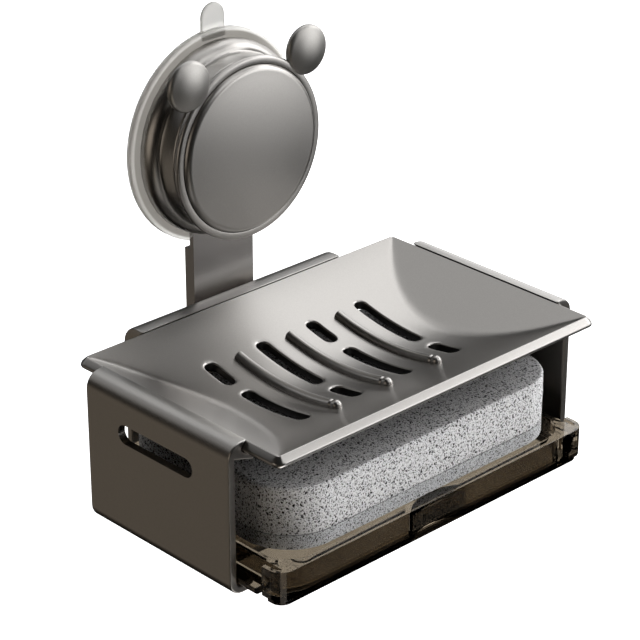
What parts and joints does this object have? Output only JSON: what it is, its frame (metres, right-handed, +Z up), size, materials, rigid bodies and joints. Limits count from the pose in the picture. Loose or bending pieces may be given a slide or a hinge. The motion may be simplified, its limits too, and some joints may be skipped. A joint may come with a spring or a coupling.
{
  "type": "draining soap dish",
  "caption": "Wall-mounted soap dish on a twist-lock suction pad, with a dished slotted tray over a stored sponge and a clear sliding drip drawer.",
  "frame": {"origin": "centre of the suction pad's flat wall face, on the knob's axis", "axes": "+X to the user's right, +Y into the wall, +Z up"},
  "size_m": [0.1472, 0.1039, 0.1448],
  "materials": {
    "clear_silicone": "translucent, slightly cloudy",
    "black_plastic": "moulded, matt",
    "steel": "plain",
    "dark_grey_finish": "dark metallic coating",
    "gun_grey_finish": "gun-grey metallic coating, satin",
    "washer_plastic": "smooth",
    "brass": "turned",
    "smoky_clear": "clear smoky brown, polished",
    "sponge_grey": "open-pored foam",
    "sponge_layer_grey": "fine-pored foam"
  },
  "bodies": {
    "holder": {"suction_pad": "clear_silicone", "hanger_strap": "dark_grey_finish", "strap_screw_left": "steel", "strap_screw_right": "steel", "mount_housing": "gun_grey_finish", "thrust_washer": "washer_plastic", "soap_tray": "gun_grey_finish", "side_panel_left": "gun_grey_finish", "side_panel_right": "gun_grey_finish", "rear_panel": "gun_grey_finish", "hanger_screw_upper": "steel", "hanger_screw_lower": "steel"},
    "knob": {"twist_knob": "gun_grey_finish", "knob_nut": "brass", "knob_cover": "gun_grey_finish"},
    "stud": {"stud_carrier": "black_plastic", "draw_stud": "steel"},
    "drawer": {"drip_drawer": "smoky_clear"},
    "sponge": {"sponge_block": "sponge_grey", "sponge_scrub_layer": "sponge_layer_grey"}
  },
  "joints": [
    {"name": "knob_turn", "type": "hinge", "parent": "holder", "child": "knob", "pos_m": [0, 0, 0], "axis": [0, 1, 0], "range_deg": [0, 90]},
    {"name": "stud_draw", "type": "slide", "parent": "holder", "child": "stud", "axis": [0, -1, 0], "range_m": [0, 0.0022]},
    {"name": "drawer_slide", "type": "slide", "parent": "holder", "child": "drawer", "axis": [0, -1, 0], "range_m": [0, 0.055]},
    {"name": "sponge_pull", "type": "slide", "parent": "drawer", "child": "sponge", "axis": [0, -1, 0], "range_m": [0, 0.06]}
  ],
  "couplings": [
    {"joint": "stud_draw", "follows": "knob_turn", "m_per_rad": 0.0014}
  ]
}
